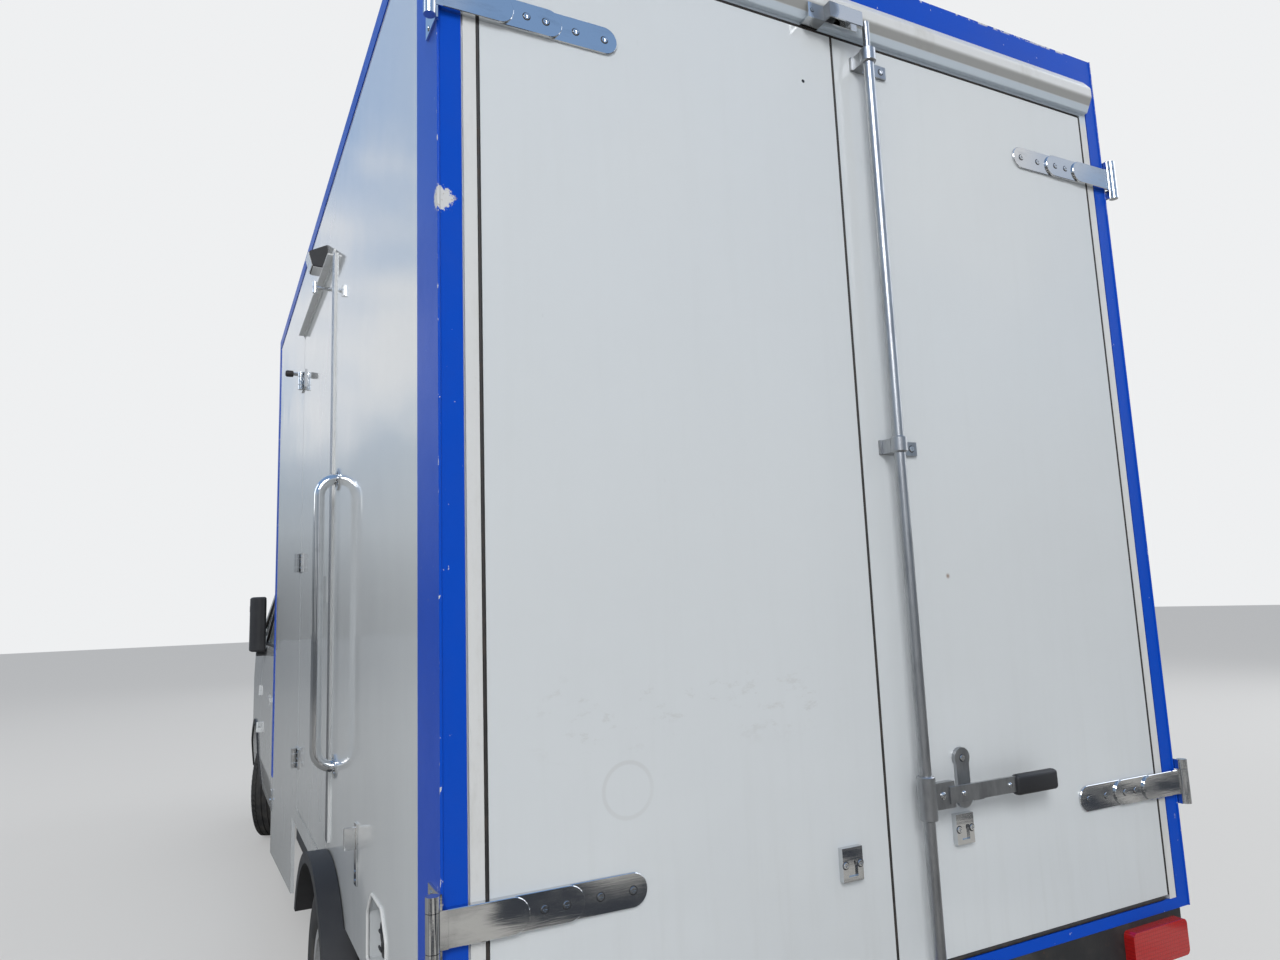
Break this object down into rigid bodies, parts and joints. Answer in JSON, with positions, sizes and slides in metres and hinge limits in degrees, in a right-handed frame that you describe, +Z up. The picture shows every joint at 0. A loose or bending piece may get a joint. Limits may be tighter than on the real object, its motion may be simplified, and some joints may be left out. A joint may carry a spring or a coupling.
{
  "type": "box truck",
  "caption": "Light box truck: tall insulated load body with strap-hinged rear doors and a side door, and a sloping-nose cab. Wheels roll and steer; doors and hood open.",
  "frame": {"origin": "on the ground under the middle of the truck's length and width", "axes": "+X forward along the truck, +Y to its left side, +Z up"},
  "size_m": [6.4524, 2.206, 3.29],
  "materials": {
    "body_panel": "glossy white laminate",
    "blue_aluminium": "glossy blue, chipped along the ridge",
    "white_trim": "satin warm white",
    "polished_steel": "polished stainless",
    "seal_rubber": "matt",
    "black_plastic": "satin black",
    "cab_paint": "glossy white",
    "cab_inner": "matt",
    "window_glass": "tinted",
    "lamp_lens": "clear",
    "red_lens": "glossy",
    "chassis_steel": "satin black",
    "floor_ply": "coated plywood",
    "engine_iron": "rough",
    "exhaust_steel": "dull",
    "tyre_rubber": "matt",
    "wheel_steel": "satin silver",
    "seat_cloth": "woven"
  },
  "bodies": {
    "chassis": {"cab_floor": "cab_inner", "cab_glass": "window_glass", "cab_shell": "cab_paint", "dashboard": "black_plastic", "door_fittings": "polished_steel", "door_seals": "seal_rubber", "door_trim": "white_trim", "edge_rails": "blue_aluminium", "engine_block": "engine_iron", "exhaust": "exhaust_steel", "fascia_grilles": "black_plastic", "fender_flares": "black_plastic", "filler_recess": "black_plastic", "frame_rails": "chassis_steel", "front_bumper": "black_plastic", "front_suspension": "chassis_steel", "front_wall": "body_panel", "fuel_tank": "black_plastic", "grab_handle": "polished_steel", "grille": "black_plastic", "headlamps": "lamp_lens", "lamps": "red_lens", "leaf_springs": "chassis_steel", "left_wall": "body_panel", "load_floor": "floor_ply", "rear_axle": "chassis_steel", "rear_bumper": "chassis_steel", "rear_frame": "blue_aluminium", "right_wall": "body_panel", "roof_panel": "body_panel", "roof_unit": "body_panel", "seats": "seat_cloth", "side_lamp": "black_plastic", "side_skirts": "body_panel"},
    "rear_door_left": {"rear_door_left": "body_panel", "left_door_hinges": "polished_steel"},
    "rear_door_right": {"rear_door_right": "body_panel", "right_door_hinges": "polished_steel", "lock_bar": "polished_steel"},
    "side_door": {"side_door": "body_panel", "side_door_hinges": "polished_steel"},
    "cab_door_left": {"cab_door_left": "cab_paint", "door_glass_left": "window_glass", "mirror_left": "black_plastic"},
    "cab_door_right": {"cab_door_right": "cab_paint", "door_glass_right": "window_glass", "mirror_right": "black_plastic"},
    "hood": {"hood": "cab_paint"},
    "knuckle_left": {"knuckle_left": "chassis_steel"},
    "knuckle_right": {"knuckle_right": "chassis_steel"},
    "front_wheel_left": {"front_tyre_left": "tyre_rubber", "front_rim_left": "wheel_steel"},
    "front_wheel_right": {"front_tyre_right": "tyre_rubber", "front_rim_right": "wheel_steel"},
    "rear_wheels_left": {"rear_tyres_left": "tyre_rubber", "rear_rims_left": "wheel_steel"},
    "rear_wheels_right": {"rear_tyres_right": "tyre_rubber", "rear_rims_right": "wheel_steel"},
    "steering_wheel": {"steering_wheel": "black_plastic"}
  },
  "joints": [
    {"name": "left_rear_door_swing", "type": "hinge", "parent": "chassis", "child": "rear_door_left", "pos_m": [-3.17268, 1.04, 1.85], "axis": [0, 0, -1], "range_deg": [0, 262]},
    {"name": "right_rear_door_swing", "type": "hinge", "parent": "chassis", "child": "rear_door_right", "pos_m": [-3.17268, -1.04, 1.85], "axis": [0, 0, 1], "range_deg": [0, 262]},
    {"name": "side_door_swing", "type": "hinge", "parent": "chassis", "child": "side_door", "pos_m": [-0.70369, 1.036, 1.745], "axis": [0, 0, -1], "range_deg": [0, 160]},
    {"name": "left_cab_door_swing", "type": "hinge", "parent": "chassis", "child": "cab_door_left", "pos_m": [1.75082, 1.01, 1.34], "axis": [0, 0.0485, -0.9988], "range_deg": [0, 70]},
    {"name": "right_cab_door_swing", "type": "hinge", "parent": "chassis", "child": "cab_door_right", "pos_m": [1.75082, -1.01, 1.34], "axis": [0, 0.0485, 0.9988], "range_deg": [0, 70]},
    {"name": "hood_lift", "type": "hinge", "parent": "chassis", "child": "hood", "pos_m": [2.46681, 0, 1.392], "axis": [0, -1, 0], "range_deg": [0, 60]},
    {"name": "steer_left", "type": "hinge", "parent": "chassis", "child": "knuckle_left", "pos_m": [2.20632, 0.8, 0.35], "axis": [0, 0, 1], "range_deg": [-16, 54]},
    {"name": "steer_right", "type": "hinge", "parent": "chassis", "child": "knuckle_right", "pos_m": [2.20632, -0.8, 0.35], "axis": [0, 0, 1], "range_deg": [-16, 54]},
    {"name": "steering_wheel_turn", "type": "hinge", "parent": "chassis", "child": "steering_wheel", "pos_m": [1.58231, 0.4, 1.2], "axis": [-0.5736, 0, 0.8192], "range_deg": [-240, 810]},
    {"name": "front_left_spin", "type": "hinge", "parent": "knuckle_left", "child": "front_wheel_left", "pos_m": [2.2278, 0.8624, 0.35], "axis": [0.3256, 0.9455, 0], "continuous": true},
    {"name": "front_right_spin", "type": "hinge", "parent": "knuckle_right", "child": "front_wheel_right", "pos_m": [2.18483, -0.8624, 0.35], "axis": [0.3256, 0.9455, 0], "continuous": true},
    {"name": "rear_left_spin", "type": "hinge", "parent": "chassis", "child": "rear_wheels_left", "pos_m": [-1.74768, 0.836, 0.35], "axis": [0, 1, 0], "continuous": true},
    {"name": "rear_right_spin", "type": "hinge", "parent": "chassis", "child": "rear_wheels_right", "pos_m": [-1.74768, -0.836, 0.35], "axis": [0, 1, 0], "continuous": true}
  ],
  "couplings": [
    {"joint": "steer_right", "follows": "steer_left", "ratio": 1},
    {"joint": "steering_wheel_turn", "follows": "steer_left", "ratio": 15}
  ]
}
